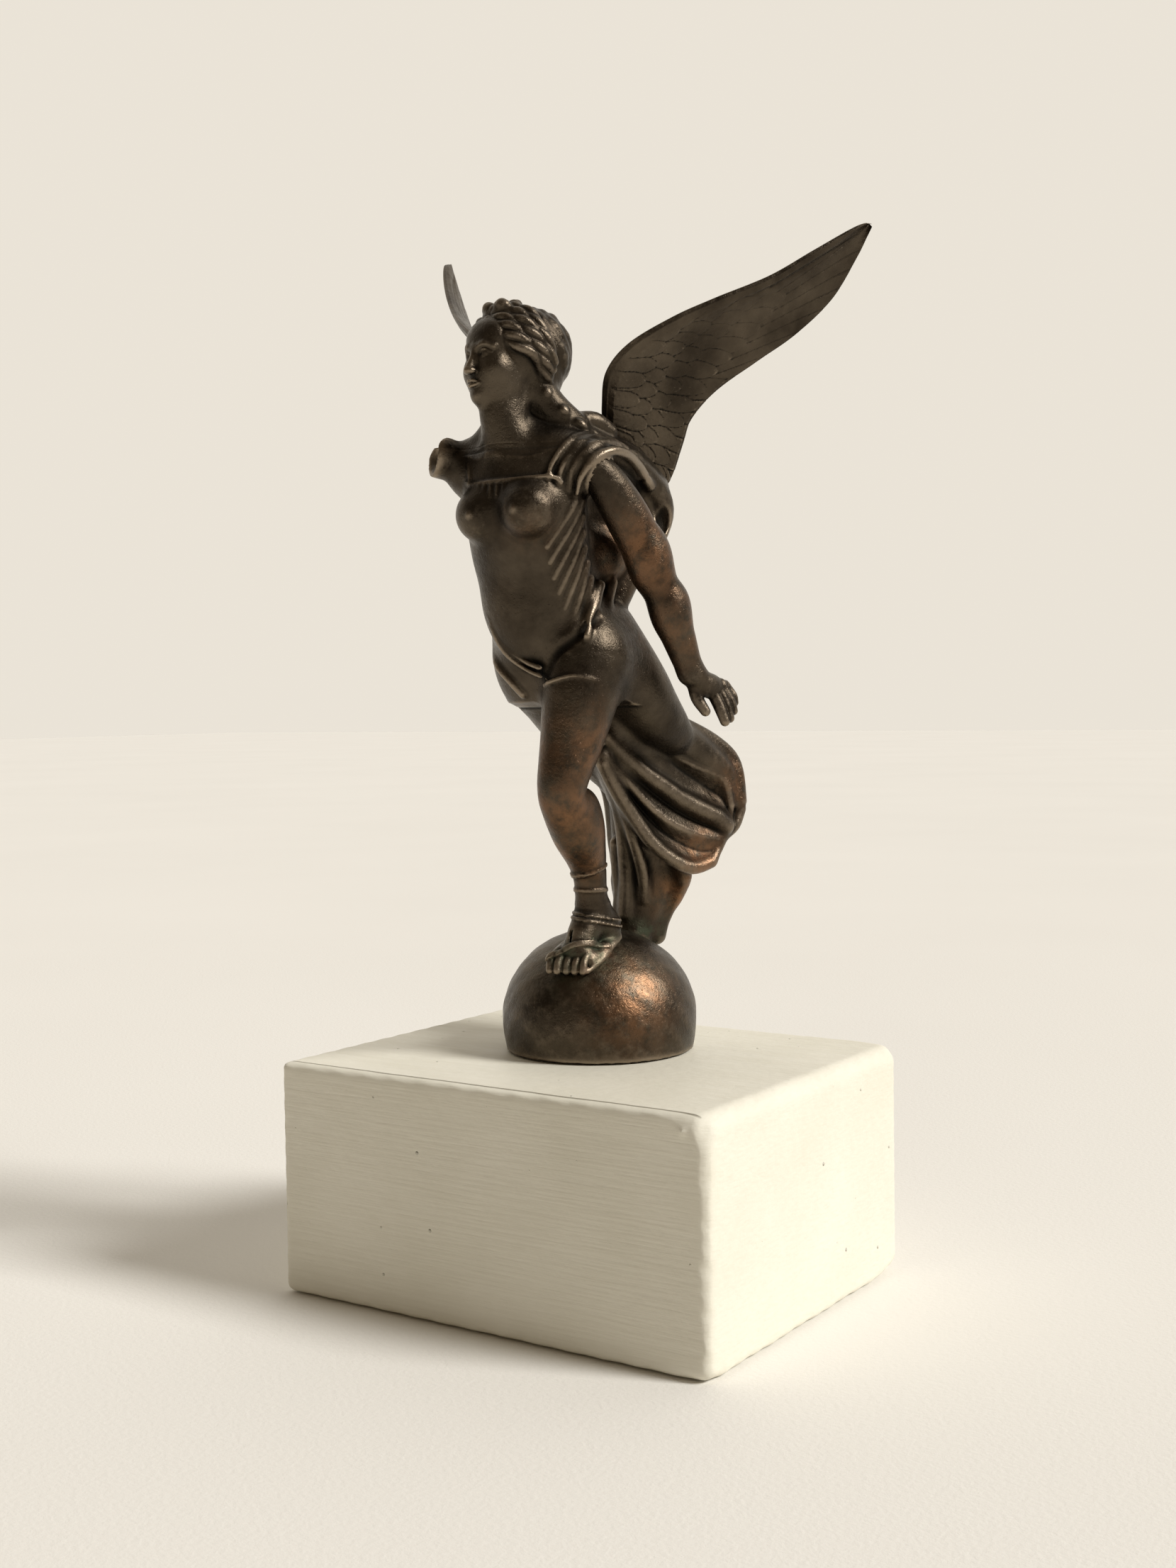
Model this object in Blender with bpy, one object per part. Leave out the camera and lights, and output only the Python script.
"""Winged figure on a globe: a car hood ornament, shown on a painted wood plinth.

The origin is the centre of the underside of the felt pad and +Z is up. The figure strides
towards -Y, so her left side is +X. Every length below is in millimetres, and MM turns it
into the scene's metres.
"""
import math

import bmesh
import bpy
from mathutils import Matrix, Vector

MM = 0.001
GAP = 0.3

PLINTH_WIDTH, PLINTH_DEPTH, PLINTH_TOP = 95.0, 76.0, 45.0
PLINTH_EDGE = 2.0
FELT_INSET, FELT_THICKNESS = 9.0, 0.8

GLOBE_CENTRE = Vector((-2.0, 5.0, 51.5))
GLOBE_RADIUS, GLOBE_HEIGHT, GLOBE_WALL = 19.2, 17.5, 3.2
GASKET_THICKNESS, GASKET_RADIUS, GASKET_HOLE = 1.0, 16.6, 8.0

STUD_RADIUS, STUD_BOTTOM, STUD_TOP = 3.0, 4.5, 63.0
BOSS_RADIUS, BOSS_BOTTOM = 5.2, 49.5
COUNTERBORE_RADIUS, COUNTERBORE_TOP = 9.5, 14.0
WASHER_RADIUS, WASHER_THICKNESS = 8.0, 1.2
LOCK_WASHER_RADIUS, LOCK_WASHER_THICKNESS = 5.4, 1.2
NUT_FLATS, NUT_THICKNESS = 10.0, 5.0

FOOT_STUD_RADIUS, FOOT_NUT_FLATS, FOOT_NUT_THICKNESS = 1.5, 5.5, 2.4
FOOT_BOSS_RADIUS, FOOT_SEAT = 3.9, 58.5
FOOT_STUDS = {"front": (1.3, -3.4, 71.5), "rear": (-3.0, 15.5, 74.0)}

DOWEL_RADIUS = 1.3
SCREW_RADIUS, SCREW_HEAD_RADIUS, SCREW_HEAD_HEIGHT = 0.9, 1.7, 1.4
SCREW_TIP, SCREW_SEAT, SCREW_ROOM = -3.6, 2.4, 4.5
SCREW_CHORDS = {"upper": 6.5, "lower": 12.5}
SCREW_SPAN = -1.0

BRONZE = ((0.16, 0.10, 0.065), 0.42, 1.0)
STEEL = ((0.45, 0.44, 0.42), 0.35, 1.0)
PAINT = ((0.86, 0.84, 0.77), 0.55, 0.0)
RUBBER = ((0.02, 0.02, 0.02), 0.8, 0.0)
FELT = ((0.05, 0.09, 0.06), 0.95, 0.0)

# Each chain is a run of balls, (x, y, z, radius) or (x, y, z, rx, ry, rz), skinned pair by pair.
TORSO = [(-2.3, -6, 122, 13.2, 10.5, 8), (-3, -8.6, 129.5, 12.4, 9.8, 7), (-3.2, -13, 137, 12, 9.4, 7),
         (-2.8, -16, 145, 12.2, 9.4, 7), (-2.3, -17.4, 151, 12.2, 9.2, 7), (-2.4, -18, 156, 10.5, 7, 4)]
SHOULDERS = [(-14, -18, 157, 4.6), (-2.8, -19, 158.5, 5.2), (10.5, -15.5, 157, 4.6)]
STUB = [(-13.6, -18, 157.6, 4.7), (-17, -21.6, 159.6, 3.9), (-19.4, -24.6, 160.2, 3.9)]
NECK = [(-2.8, -19.4, 159.5, 5.4), (-3.4, -22, 165.5, 4.6), (-3.8, -22.4, 172, 4.8)]
HEAD = [(-4, -20.2, 177.4, 8.4, 9, 8.6), (-5.2, -24.4, 172, 5.2, 4.8, 5)]
HAIR = [(-3.2, -18, 178.2, 9.4, 9, 9), (-3.6, -17, 173.5, 7, 7, 7)]
TOPKNOT = [(-6.5, -24, 184.6, 2.6), (-3, -22.5, 185, 2.8)]
LOCK = [(2, -20, 173, 4), (3.2, -19.6, 168, 3.6), (6, -18.2, 162.5, 3.4), (8.5, -15.5, 160, 2.6)]
BREASTS = [(2.7, -23.2, 149, 5.4), (-7.6, -22.8, 148.6, 5.3)]
BACK = [(-0.5, -6, 162.5, 4.8), (-1.7, 3, 161.5, 5.7), (-1.7, 9.5, 156.4, 5.6), (-1.2, 5, 146, 6),
        (-1, -1, 135, 6)]
MANTLE = [(-1, -2, 153, 12, 11.5, 10), (0, -3, 142, 11, 9, 8)]
SOCKETS = {"left": [(4, -3, 162, 3.6), (6, 4, 159.5, 4.2), (8, 10, 155, 3.8)],
           "right": [(-7, -3, 163, 3.6), (-9.2, 4, 160.8, 4.2), (-11, 10, 156.6, 3.8)]}
RIGHT_LOOP = [(-11, -10, 161.5, 2.6), (-12.6, -1, 160, 3), (-13, 7, 156, 3), (-12.8, 9.4, 151, 2.9),
              (-11.8, 6, 145.5, 2.9), (-9.8, 1.5, 139.5, 3), (-7, -1.5, 132.5, 3)]
LEFT_LOOP = [(7, -9.5, 162.5, 2.6), (8.6, -1, 160, 3), (9.6, 7, 155.5, 3), (10, 10, 151, 2.9),
              (9.2, 7, 145.5, 2.9), (7.5, 2.5, 139.5, 3), (5.5, -0.5, 132.5, 3)]

FRONT_LEG = [(5, -8.5, 122, 8.5), (5, -10.7, 115, 7.3), (4.6, -13, 107, 6), (3.9, -15.5, 98.5, 4.6),
             (3.4, -13.9, 94, 4.4), (2.9, -8.9, 89, 4.9), (2.4, -5.8, 84.5, 4), (2, -3.7, 80.5, 3.4),
             (1.7, -2.5, 75, 3.7), (2, 0.3, 71, 4)]
FRONT_FOOT = [(2, 0.3, 71, 4), (0.6, -6, 67.5, 4.2, 3.6, 3.6), (-0.3, -9.6, 63.3, 4, 2.4, 2.6)]
REAR_LEG = [(-6, -5, 121, 9.5), (-5.5, 3, 113, 8.5), (-5, 9.5, 104.5, 7.5), (-4, 14.5, 95, 6.5),
            (-3.5, 17.5, 85, 5.6), (-3, 17.5, 76, 5), (-2.4, 16, 68, 5.6)]
HIP_CLOTH = [(5, -2, 127, 6), (7, 3, 119, 6.5), (8, 9, 112, 6.2), (11, 17, 107.5, 4)]
TOP_ROLL = [(9, 12, 110, 4.6), (12, 22, 105, 3.2), (13.5, 30, 100.5, 3), (14, 32.5, 95.5, 3),
            (13.4, 33, 90.5, 3), (12, 29.5, 87.5, 2.6)]
MIDDLE_FOLD = [(4, -3, 109, 3.4), (9.5, 6, 101, 3.2), (12.3, 15, 94.5, 3), (13.3, 25, 89, 2.6)]
LOWER_FOLD = [(3, 3, 100, 3.4), (8, 10, 90, 3.2), (10.2, 15.5, 84.5, 2.8), (11.2, 23, 82, 2.4)]
INNER_FOLD = [(0.5, 1.5, 105, 3), (1, 7.6, 98, 3), (2.2, 9.8, 90, 2.8), (3, 11, 84, 2.6), (2, 15, 78, 3),
              (0, 18, 72, 3.4)]
HEM_LOBES = [(8, 18, 80.5, 2.6), (6.8, 21.3, 77, 2.4), (4.3, 21.6, 73, 2.2), (1, 20.5, 69, 2.6)]
FAR_EDGE = [(-7.5, 16, 98, 3), (-7.4, 17, 90, 2.6), (-6.4, 19, 84, 2.4), (-6.2, 17.2, 76.5, 2.5),
            (-5, 16.4, 69.5, 3)]
FOLD_FILLS = [[TOP_ROLL[1], TOP_ROLL[2], MIDDLE_FOLD[1], MIDDLE_FOLD[2], REAR_LEG[2]],
              [TOP_ROLL[2], TOP_ROLL[4], MIDDLE_FOLD[2], MIDDLE_FOLD[3], REAR_LEG[3]],
              [MIDDLE_FOLD[0], MIDDLE_FOLD[1], LOWER_FOLD[0], LOWER_FOLD[1], REAR_LEG[2]],
              [MIDDLE_FOLD[1], MIDDLE_FOLD[3], LOWER_FOLD[1], LOWER_FOLD[3], REAR_LEG[3]],
              [LOWER_FOLD[1], LOWER_FOLD[2], INNER_FOLD[2], INNER_FOLD[3], REAR_LEG[4]],
              [LOWER_FOLD[3], INNER_FOLD[4], HEM_LOBES[0], HEM_LOBES[1], REAR_LEG[4]],
              [INNER_FOLD[4], INNER_FOLD[5], HEM_LOBES[1], HEM_LOBES[2], HEM_LOBES[3], REAR_LEG[5]]]

LEFT_ARM = [(12.9, -14.2, 156.3, 4.6), (14.6, -9.8, 149, 4.3), (16.3, -5.9, 142, 4), (17.6, -2.6, 135.5, 3.7),
            (18.8, 0, 129, 3.5), (20, 2.4, 122.5, 3), (20.9, 4, 118.6, 2.5)]
HAND = [(20.9, 4, 118.6, 2.5), (22.6, 7.4, 115, 2.2, 3.4, 3.2), (24.2, 9.8, 109.9, 1.6, 2.8, 1.9)]
THUMB = [(21.2, 5.2, 116, 1.7), (21.2, 6.2, 111.4, 1.4)]

WING_ROOTS = {"left": Vector((5.0, -0.7, 166.4)), "right": Vector((-8.5, -0.7, 167.8))}
RIGHT_WING_TURN = Matrix.Rotation(math.radians(3), 3, "Z")
WING_SPAN = Vector((0.716, 0.38, 0.585))
WING_CHORD = Vector((0.07, 0.795, -0.602))
# How far each wing's outer half sweeps back, and how far its tip turns up.
WING_SWEEP_START, WING_SWEEP = 30.0, Vector((-2.3, 3.5, 0.0))
WING_RISE = {"left": 0.5, "right": 5.0}
# Span and chord of the leading and trailing edge, root to tip, and the plate's thickness there.
WING_SECTIONS = [((-1.8, 1.5), (4.2, 18.7), 2.4), ((1.5, -4.0), (7.2, 16.3), 2.4),
                 ((5.8, -9.7), (10.5, 13.2), 2.4), ((12.3, -11.8), (14.2, 9.7), 2.3),
                 ((21.8, -10.3), (21.0, 7.5), 2.1), ((30.0, -7.6), (30.0, 8.8), 1.9),
                 ((40.8, -4.0), (39.5, 9.9), 1.7), ((50.4, -2.6), (49.0, 9.4), 1.5),
                 ((58.4, -1.6), (57.2, 5.0), 1.2), ((62.4, -0.4), (62.0, 1.4), 1.0)]
WING_TENON = (-6.0, 3.0, 15.0)
WING_CAMBER = 1.0


def clear_scene():
    for old in list(bpy.data.objects):
        bpy.data.objects.remove(old, do_unlink=True)


def material(name, look):
    colour, roughness, metallic = look
    made = bpy.data.materials.new(name)
    made.use_nodes = True
    shader = made.node_tree.nodes["Principled BSDF"]
    shader.inputs["Base Color"].default_value = (*colour, 1.0)
    shader.inputs["Roughness"].default_value = roughness
    shader.inputs["Metallic"].default_value = metallic
    made.diffuse_color = (*colour, 1.0)
    return made


def add_object(name, bm, look=None):
    """Turn a bmesh drawn in millimetres into a named object."""
    bmesh.ops.scale(bm, vec=(MM, MM, MM), verts=bm.verts)
    mesh = bpy.data.meshes.new(name)
    bm.to_mesh(mesh)
    bm.free()
    made = bpy.data.objects.new(name, mesh)
    bpy.context.scene.collection.objects.link(made)
    if look:
        mesh.materials.append(material(name, look))
        mesh.shade_smooth()
        mesh.set_sharp_from_angle(angle=math.radians(40))
    return made


def add_cutter(name, bm):
    made = add_object("cut_" + name, bm)
    made.hide_render = True
    made.display_type = "WIRE"
    return made


def boolean(target, tool, operation="DIFFERENCE"):
    step = target.modifiers.new(tool.name, "BOOLEAN")
    step.object = tool
    step.operation = operation
    step.solver = "EXACT"


def ball_points(ball, grow=0.0, segments=12, rings=7):
    centre = Vector(ball[:3])
    radii = [radius + grow for radius in (ball[3:] if len(ball) == 6 else ball[3:] * 3)]
    points = [centre + Vector((0, 0, radii[2])), centre - Vector((0, 0, radii[2]))]
    for ring in range(1, rings):
        polar = math.pi * ring / rings
        for segment in range(segments):
            turn = 2 * math.pi * segment / segments
            points.append(centre + Vector((radii[0] * math.sin(polar) * math.cos(turn),
                                           radii[1] * math.sin(polar) * math.sin(turn),
                                           radii[2] * math.cos(polar))))
    return points


def add_hull(bm, balls, grow=0.0):
    """Add the convex skin around a few balls."""
    skin = bmesh.new()
    for ball in balls:
        for point in ball_points(ball, grow):
            skin.verts.new(point)
    result = bmesh.ops.convex_hull(skin, input=skin.verts)
    spare = [item for item in result["geom_interior"] if isinstance(item, bmesh.types.BMVert)]
    bmesh.ops.delete(skin, geom=spare, context="VERTS")
    bmesh.ops.recalc_face_normals(skin, faces=skin.faces)
    part = bpy.data.meshes.new("skin")
    skin.to_mesh(part)
    skin.free()
    bm.from_mesh(part)
    bpy.data.meshes.remove(part)


def add_chain(bm, balls, grow=0.0):
    for first, second in zip(balls, balls[1:]):
        add_hull(bm, (first, second), grow)


def melt(target, voxel, triangles_kept):
    """Fuse overlapping skins into one closed casting and thin its mesh."""
    remesh = target.modifiers.new("fuse", "REMESH")
    remesh.mode = "VOXEL"
    remesh.voxel_size = voxel * MM
    smooth = target.modifiers.new("soften", "SMOOTH")
    smooth.factor = 0.5
    smooth.iterations = 4
    thin = target.modifiers.new("thin", "DECIMATE")
    thin.ratio = triangles_kept


def cylinder(start, end, radius, segments=24):
    """A closed cylinder between two points."""
    start, end = Vector(start), Vector(end)
    axis = end - start
    bm = bmesh.new()
    bmesh.ops.create_cone(bm, cap_ends=True, segments=segments, radius1=radius, radius2=radius,
                          depth=axis.length)
    turn = Vector((0, 0, 1)).rotation_difference(axis).to_matrix().to_4x4()
    bmesh.ops.transform(bm, matrix=Matrix.Translation((start + end) / 2) @ turn, verts=bm.verts)
    return bm


def turned(profile, centre, segments=32):
    """A solid of revolution about a vertical axis; a closed profile of (radius, z) points."""
    bm = bmesh.new()
    rings = []
    for radius, height in profile:
        if radius == 0:
            rings.append([bm.verts.new((centre[0], centre[1], height))] * segments)
            continue
        rings.append([bm.verts.new((centre[0] + radius * math.cos(2 * math.pi * step / segments),
                                    centre[1] + radius * math.sin(2 * math.pi * step / segments),
                                    height)) for step in range(segments)])
    for lower, upper in zip(rings, rings[1:] + rings[:1]):
        for step in range(segments):
            corners = [lower[step], lower[(step + 1) % segments], upper[(step + 1) % segments], upper[step]]
            corners = list(dict.fromkeys(corners))
            if len(corners) > 2:
                bm.faces.new(corners)
    bmesh.ops.recalc_face_normals(bm, faces=bm.faces)
    return bm


def block(low, high):
    bm = bmesh.new()
    bmesh.ops.create_cube(bm, size=1)
    low, high = Vector(low), Vector(high)
    bmesh.ops.scale(bm, vec=high - low, verts=bm.verts)
    bmesh.ops.translate(bm, vec=(low + high) / 2, verts=bm.verts)
    return bm


def ring(centre, low, high, outer, inner, segments=32):
    return turned([(inner, low), (outer, low), (outer, high), (inner, high)], centre, segments)


def nut(name, centre, low, flats, thickness, hole):
    """A hexagon nut with its corners chamfered, around a vertical stud."""
    bm = bmesh.new()
    bmesh.ops.create_cone(bm, cap_ends=True, segments=6, radius1=flats / math.sqrt(3),
                          radius2=flats / math.sqrt(3), depth=thickness)
    caps = [edge for edge in bm.edges if abs(edge.verts[0].co.z - edge.verts[1].co.z) < 0.01]
    bmesh.ops.bevel(bm, geom=caps, offset=0.08 * flats, segments=1, affect="EDGES")
    bmesh.ops.translate(bm, vec=(centre[0], centre[1], low + thickness / 2), verts=bm.verts)
    made = add_object(name, bm, STEEL)
    boolean(made, add_cutter(name + "_hole", cylinder((centre[0], centre[1], low - 1),
                                                      (centre[0], centre[1], low + thickness + 1), hole)))
    return made


def globe_height(point, grow=0.0):
    """Height of the globe's surface above a point, with its radii grown."""
    across = (Vector(point[:2]) - GLOBE_CENTRE.xy).length / (GLOBE_RADIUS + grow)
    return GLOBE_CENTRE.z + (GLOBE_HEIGHT + grow) * math.sqrt(max(0.0, 1 - across ** 2))


def globe_arc(grow, low, steps):
    """Radius and height along the globe's side, from the plane at low up to the crown."""
    start = math.asin((low - GLOBE_CENTRE.z) / (GLOBE_HEIGHT + grow))
    points = []
    for step in range(steps + 1):
        angle = start + (math.pi / 2 - start) * step / steps
        radius = (GLOBE_RADIUS + grow) * math.cos(angle) if step < steps else 0
        points.append((radius, GLOBE_CENTRE.z + (GLOBE_HEIGHT + grow) * math.sin(angle)))
    return points


def make_plinth():
    """The painted block with its stud hole, the nut's counterbore and a rebate for the felt."""
    bm = block((-PLINTH_WIDTH / 2, -PLINTH_DEPTH / 2, GAP), (PLINTH_WIDTH / 2, PLINTH_DEPTH / 2, PLINTH_TOP))
    plinth = add_object("plinth_block", bm, PAINT)
    rounding = plinth.modifiers.new("worn_edges", "BEVEL")
    rounding.width = PLINTH_EDGE * MM
    rounding.segments = 3
    side, front = PLINTH_WIDTH / 2 - FELT_INSET, PLINTH_DEPTH / 2 - FELT_INSET
    boolean(plinth, add_cutter("rebate", block((-side, -front, -1), (side, front, FELT_THICKNESS + GAP))))
    x, y, _ = GLOBE_CENTRE
    boolean(plinth, add_cutter("stud_hole", cylinder((x, y, 2), (x, y, 50), STUD_RADIUS + GAP)))
    boolean(plinth, add_cutter("counterbore", cylinder((x, y, 0), (x, y, COUNTERBORE_TOP),
                                                       COUNTERBORE_RADIUS, 32)))
    felt = block((-side + GAP, -front + GAP, 0), (side - GAP, front - GAP, FELT_THICKNESS))
    add_object("felt_pad", felt, FELT)


def make_fastening():
    """The stud that holds the globe down, with its washers and nut inside the counterbore."""
    x, y, _ = GLOBE_CENTRE
    stud = cylinder((x, y, STUD_BOTTOM), (x, y, STUD_TOP), STUD_RADIUS)
    ends = [edge for edge in stud.edges if abs(edge.verts[0].co.z - edge.verts[1].co.z) < 0.01]
    bmesh.ops.bevel(stud, geom=ends, offset=0.5, segments=1, affect="EDGES")
    add_object("mounting_stud", stud, STEEL)
    top = COUNTERBORE_TOP - GAP
    hole = STUD_RADIUS + GAP
    add_object("plinth_washer", ring((x, y), top - WASHER_THICKNESS, top, WASHER_RADIUS, hole), STEEL)
    top -= WASHER_THICKNESS + GAP
    lock = add_object("lock_washer", ring((x, y), top - LOCK_WASHER_THICKNESS, top, LOCK_WASHER_RADIUS, hole),
                      STEEL)
    split = block((x, y - 0.35, top - 3), (x + 9, y + 0.35, top + 3))
    boolean(lock, add_cutter("washer_split", split))
    top -= LOCK_WASHER_THICKNESS + GAP
    nut("plinth_nut", (x, y), top - NUT_THICKNESS, NUT_FLATS, NUT_THICKNESS, hole)


def make_globe():
    """The hollow globe with a boss for the mounting stud and a seat for each foot stud."""
    x, y, _ = GLOBE_CENTRE
    rim = PLINTH_TOP + GAP
    rebate = rim + GASKET_THICKNESS + GAP
    gasket = ring((x, y), rim, rebate - GAP, GASKET_RADIUS, GASKET_HOLE)
    add_object("base_gasket", gasket, RUBBER)
    outside = globe_arc(0, rim, 10)
    inside = globe_arc(-GLOBE_WALL, rebate, 7)
    lip = [(GASKET_RADIUS + GAP, rebate), (GASKET_RADIUS + GAP, rim)]
    globe = add_object("globe_base", turned(outside + inside[::-1] + lip, (x, y)), BRONZE)
    crown = GLOBE_CENTRE.z + GLOBE_HEIGHT - GLOBE_WALL / 2
    boss = add_cutter("boss", cylinder((x, y, BOSS_BOTTOM), (x, y, crown), BOSS_RADIUS))
    boolean(globe, boss, "UNION")
    for name, (px, py, _) in FOOT_STUDS.items():
        seat_top = globe_height((px, py), -GLOBE_WALL / 2) - 1.5
        seat = add_cutter(name + "_seat", cylinder((px, py, FOOT_SEAT), (px, py, seat_top), FOOT_BOSS_RADIUS))
        boolean(globe, seat, "UNION")
    boolean(globe, add_cutter("boss_hole", cylinder((x, y, 40), (x, y, STUD_TOP + GAP), STUD_RADIUS + GAP)))
    for name, (px, py, _) in FOOT_STUDS.items():
        boolean(globe, add_cutter(name + "_way", cylinder((px, py, 50), (px, py, 75), FOOT_STUD_RADIUS + GAP)))


def make_foot_fastenings():
    for name, (px, py, top) in FOOT_STUDS.items():
        low = FOOT_SEAT - GAP - FOOT_NUT_THICKNESS
        stud = cylinder((px, py, low - 1), (px, py, top), FOOT_STUD_RADIUS)
        add_object(name + "_foot_stud", stud, STEEL)
        nut(name + "_foot_nut", (px, py), low, FOOT_NUT_FLATS, FOOT_NUT_THICKNESS, FOOT_STUD_RADIUS + GAP)


def wing_frame(side):
    """Matrix from a wing's span, chord and normal to the world."""
    span, chord = WING_SPAN.normalized(), WING_CHORD.normalized()
    normal = span.cross(chord).normalized()
    if side == "right":
        span, chord, normal = (RIGHT_WING_TURN @ Vector((-axis.x, axis.y, axis.z))
                               for axis in (span, chord, normal))
    frame = Matrix((span, chord, normal)).transposed().to_4x4()
    frame.translation = WING_ROOTS[side]
    return frame


def wing_sections(fine):
    """Smooth run of sections through the driving ones."""
    def blend(a, b, c, d, t):
        return 0.5 * (2 * b + (c - a) * t + (2 * a - 5 * b + 4 * c - d) * t ** 2
                      + (3 * b - a - 3 * c + d) * t ** 3)
    rows = [(*lead, *trail, thick) for lead, trail, thick in WING_SECTIONS]
    padded = [rows[0]] + rows + [rows[-1]]
    run = []
    for index in range(1, len(padded) - 2):
        for step in range(fine):
            run.append([blend(*(padded[index + k][axis] for k in (-1, 0, 1, 2)), step / fine)
                        for axis in range(5)])
    run.append(list(rows[-1]))
    return run


def wing_mesh(side, grow=0.0, root_only=False):
    """The feathered plate: thick along its leading edge, thin behind, and slightly cupped."""
    outline = [(0.0, 0.42), (0.12, 0.5), (0.35, 0.44), (0.65, 0.32), (1.0, 0.2)]
    bm = bmesh.new()
    rings = []
    sections = wing_sections(2)
    if root_only:
        sections = sections[:6]
    for lead_s, lead_c, trail_s, trail_c, thick in sections:
        lead, trail = Vector((lead_s, lead_c, 0)), Vector((trail_s, trail_c, 0))
        across = (trail - lead).normalized()
        lead, trail = lead - across * grow, trail + across * grow
        upper, lower = [], []
        for part, half in outline:
            point = lead.lerp(trail, part)
            cup = -WING_CAMBER * math.sin(math.pi * min(max(part, 0), 1)) * min(1.0, max(lead_s, 0) / 20)
            reach = thick * half + grow
            upper.append(point + Vector((0, 0, reach - cup)))
            lower.append(point + Vector((0, 0, -reach - cup)))
        rings.append([bm.verts.new(point) for point in upper + lower[::-1]])
    for first, second in zip(rings, rings[1:]):
        count = len(first)
        for step in range(count):
            bm.faces.new((first[step], first[(step + 1) % count], second[(step + 1) % count], second[step]))
    bm.faces.new(rings[0])
    bm.faces.new(rings[-1])
    frame = wing_frame(side)
    tip = WING_SECTIONS[-1][0][0]
    for vert in bm.verts:
        span = max(vert.co.x, 0.0)
        back = max(span - WING_SWEEP_START, 0.0) / (tip - WING_SWEEP_START)
        sweep = WING_SWEEP * back ** 2
        if side == "right":
            sweep = Vector((-sweep.x, sweep.y, sweep.z))
        vert.co = frame @ vert.co + sweep + Vector((0, 0, WING_RISE[side] * (span / tip) ** 2))
    bmesh.ops.recalc_face_normals(bm, faces=bm.faces)
    return bm


def tenon_mesh(side, grow=0.0):
    start, low, high = WING_TENON
    bm = block((start - grow, low - grow, -1.0 - grow), (3.0, high + grow, 1.0 + grow))
    bmesh.ops.transform(bm, matrix=wing_frame(side), verts=bm.verts)
    bmesh.ops.recalc_face_normals(bm, faces=bm.faces)
    return bm


def make_wing(side):
    wing = add_object(side + "_wing", wing_mesh(side), BRONZE)
    boolean(wing, add_cutter(side + "_tenon", tenon_mesh(side)), "UNION")
    frame = wing_frame(side)
    for height, chord in SCREW_CHORDS.items():
        low, seat = frame @ Vector((SCREW_SPAN, chord, SCREW_TIP)), frame @ Vector((SCREW_SPAN, chord, SCREW_SEAT))
        far = frame @ Vector((SCREW_SPAN, chord, SCREW_TIP - GAP))
        way = add_cutter(f"{side}_{height}_way", cylinder(far, seat, SCREW_RADIUS + GAP, 16))
        boolean(wing, way)
        neck = frame @ Vector((SCREW_SPAN, chord, SCREW_SEAT + GAP + SCREW_HEAD_HEIGHT / 2))
        bm = cylinder(low, neck, SCREW_RADIUS, 16)
        screw = add_object(f"{side}_wing_screw_{height}", bm, STEEL)
        head_low = frame @ Vector((SCREW_SPAN, chord, SCREW_SEAT + GAP))
        head_top = frame @ Vector((SCREW_SPAN, chord, SCREW_SEAT + GAP + SCREW_HEAD_HEIGHT))
        head = add_cutter(f"{side}_{height}_head", cylinder(head_low, head_top, SCREW_HEAD_RADIUS, 20))
        boolean(screw, head, "UNION")
        top = SCREW_SEAT + GAP + SCREW_HEAD_HEIGHT
        slot = block((SCREW_SPAN - 0.25, chord - 3, top - 0.5), (SCREW_SPAN + 0.25, chord + 3, top + 1))
        bmesh.ops.transform(slot, matrix=frame, verts=slot.verts)
        bmesh.ops.recalc_face_normals(slot, faces=slot.faces)
        boolean(screw, add_cutter(f"{side}_{height}_slot", slot))


def make_arm():
    """The left arm, cast apart and pinned at the shoulder."""
    bm = bmesh.new()
    for chain in (LEFT_ARM, HAND, THUMB):
        add_chain(bm, chain)
    arm = add_object("left_arm", bm, BRONZE)
    melt(arm, 0.5, 0.055)
    boolean(arm, add_cutter("arm_socket", cylinder(*dowel_line(GAP), DOWEL_RADIUS + GAP, 20)))
    add_object("left_arm_dowel", cylinder(*dowel_line(0), DOWEL_RADIUS, 20), STEEL)


def dowel_line(grow):
    """Ends of the dowel, from inside the chest to inside the upper arm."""
    chest, arm = Vector((5.5, -16.5, 154.5)), Vector((13.6, -14.0, 155.0))
    along = (arm - chest).normalized() * grow
    return chest - along, arm + along


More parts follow.
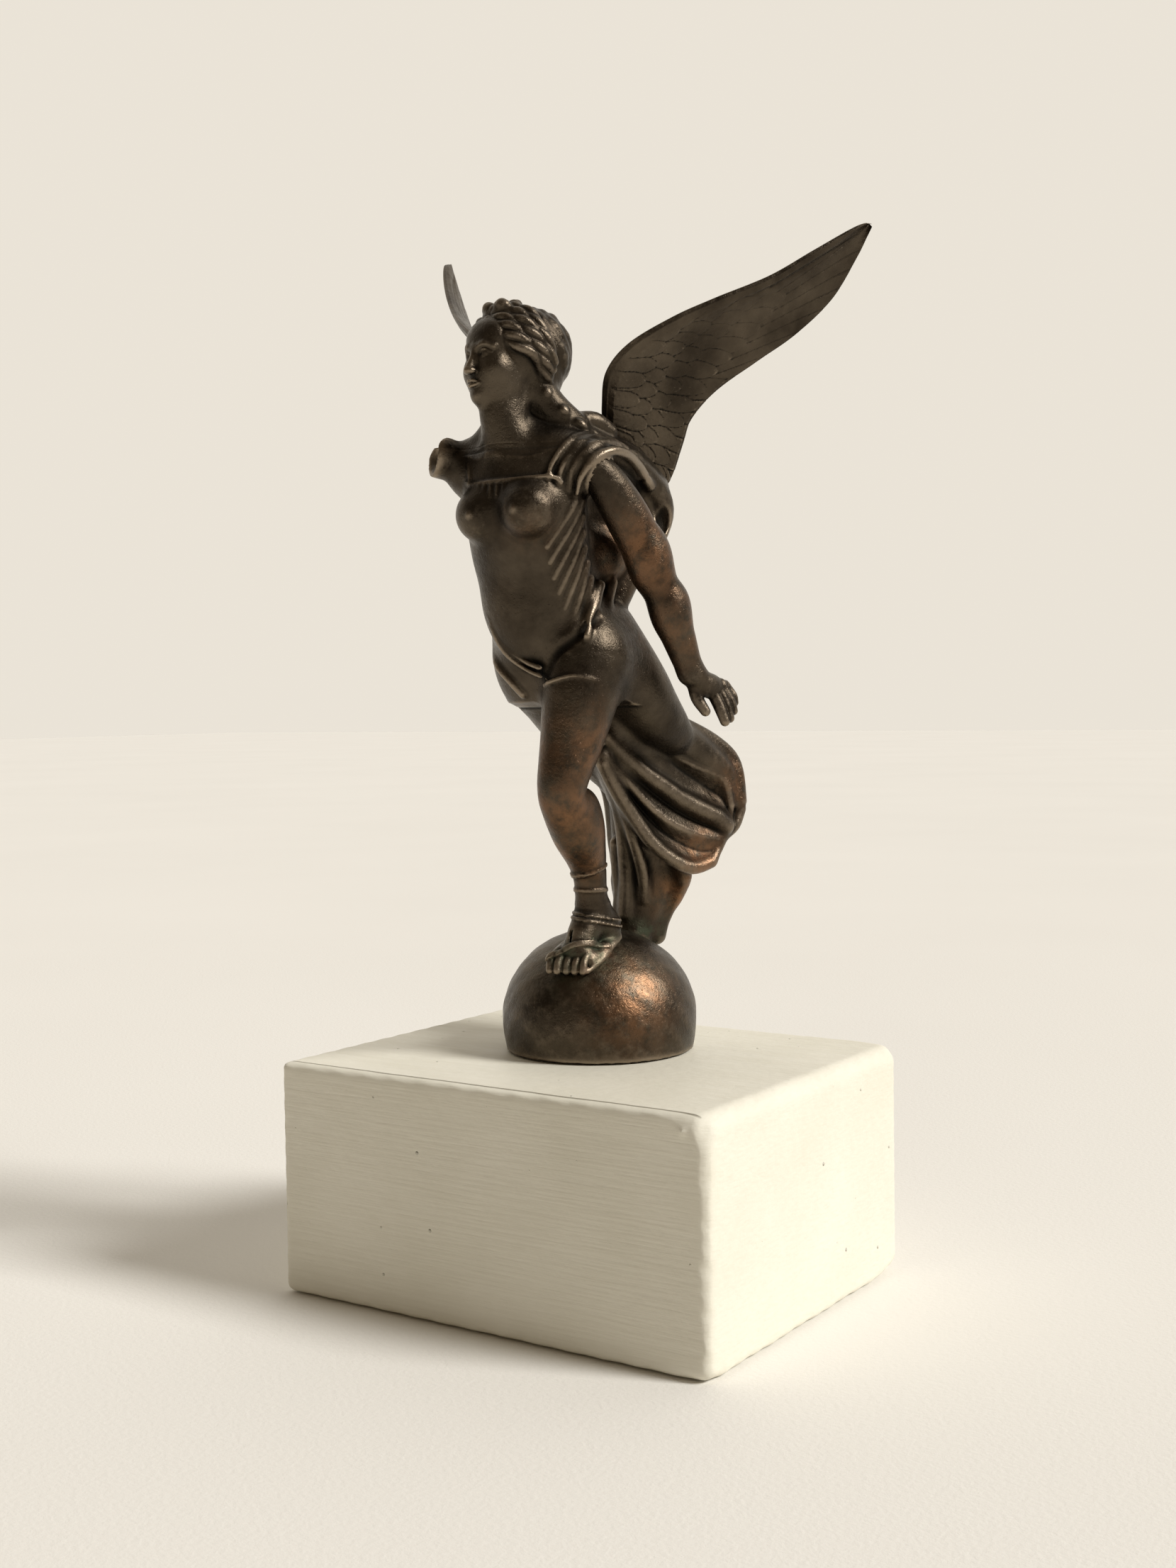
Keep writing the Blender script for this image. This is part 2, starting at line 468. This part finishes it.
def make_figure():
    """The body casting: head, dress, cloth and both legs, with a socket for every other piece."""
    bm = bmesh.new()
    chains = [TORSO, SHOULDERS, STUB, NECK, HEAD, HAIR, TOPKNOT, LOCK, BACK, MANTLE, LEFT_LOOP, RIGHT_LOOP, FRONT_LEG,
              FRONT_FOOT, REAR_LEG, HIP_CLOTH, TOP_ROLL, MIDDLE_FOLD, LOWER_FOLD, INNER_FOLD, HEM_LOBES,
              FAR_EDGE, *SOCKETS.values()]
    for chain in chains:
        add_chain(bm, chain)
    for breast in BREASTS:
        add_hull(bm, (breast, (breast[0], breast[1] + 4, breast[2] + 2, breast[3])))
    for fill in FOLD_FILLS:
        add_hull(bm, fill, -0.8)
    figure = add_object("figure", bm, BRONZE)
    melt(figure, 0.7, 0.05)
    bottom = GLOBE_CENTRE.z
    under = turned(globe_arc(GAP, bottom, 14) + [(0, bottom)], GLOBE_CENTRE.xy)
    boolean(figure, add_cutter("under_feet", under))
    for name, (px, py, top) in FOOT_STUDS.items():
        way = cylinder((px, py, 55), (px, py, top + GAP), FOOT_STUD_RADIUS + GAP, 20)
        boolean(figure, add_cutter(name + "_foot_hole", way))
    clear_arm = bmesh.new()
    for chain in (LEFT_ARM, HAND):
        add_chain(clear_arm, chain, 0.35)
    arm_room = add_cutter("arm_room", clear_arm)
    fuse = arm_room.modifiers.new("fuse", "REMESH")
    fuse.mode = "VOXEL"
    fuse.voxel_size = 0.6 * MM
    thin = arm_room.modifiers.new("thin", "DECIMATE")
    thin.ratio = 0.2
    boolean(figure, arm_room)
    boolean(figure, add_cutter("dowel_hole", cylinder(*dowel_line(GAP), DOWEL_RADIUS + GAP, 20)))
    cut_stub(figure)
    for side in WING_ROOTS:
        boolean(figure, add_cutter(side + "_wing_room", wing_mesh(side, GAP, root_only=True)))
        boolean(figure, add_cutter(side + "_tenon_room", tenon_mesh(side, GAP)))
        frame = wing_frame(side)
        for height, chord in SCREW_CHORDS.items():
            far, seat, out = (frame @ Vector((SCREW_SPAN, chord, z)) for z in
                              (SCREW_TIP - GAP, SCREW_SEAT, SCREW_SEAT + SCREW_ROOM))
            hole = cylinder(far, seat.lerp(out, 0.3), SCREW_RADIUS + GAP, 16)
            boolean(figure, add_cutter(f"{side}_{height}_hole", hole))
            head_room = cylinder(seat, out, SCREW_HEAD_RADIUS + GAP, 20)
            boolean(figure, add_cutter(f"{side}_{height}_head_room", head_room))


def cut_stub(figure):
    """Saw the right shoulder's end flat and drill the empty socket of the lost arm."""
    outward = Vector((-0.62, -0.78, 0.08)).normalized()
    end = Vector((-17.6, -22.8, 161.0))
    boolean(figure, add_cutter("stub_face", cylinder(end, end + outward * 8, 8)))
    boolean(figure, add_cutter("stub_socket", cylinder(end - outward * 3.5, end + outward, 2.1, 20)))


clear_scene()
make_plinth()
make_fastening()
make_globe()
make_foot_fastenings()
make_figure()
make_arm()
for wing_side in WING_ROOTS:
    make_wing(wing_side)
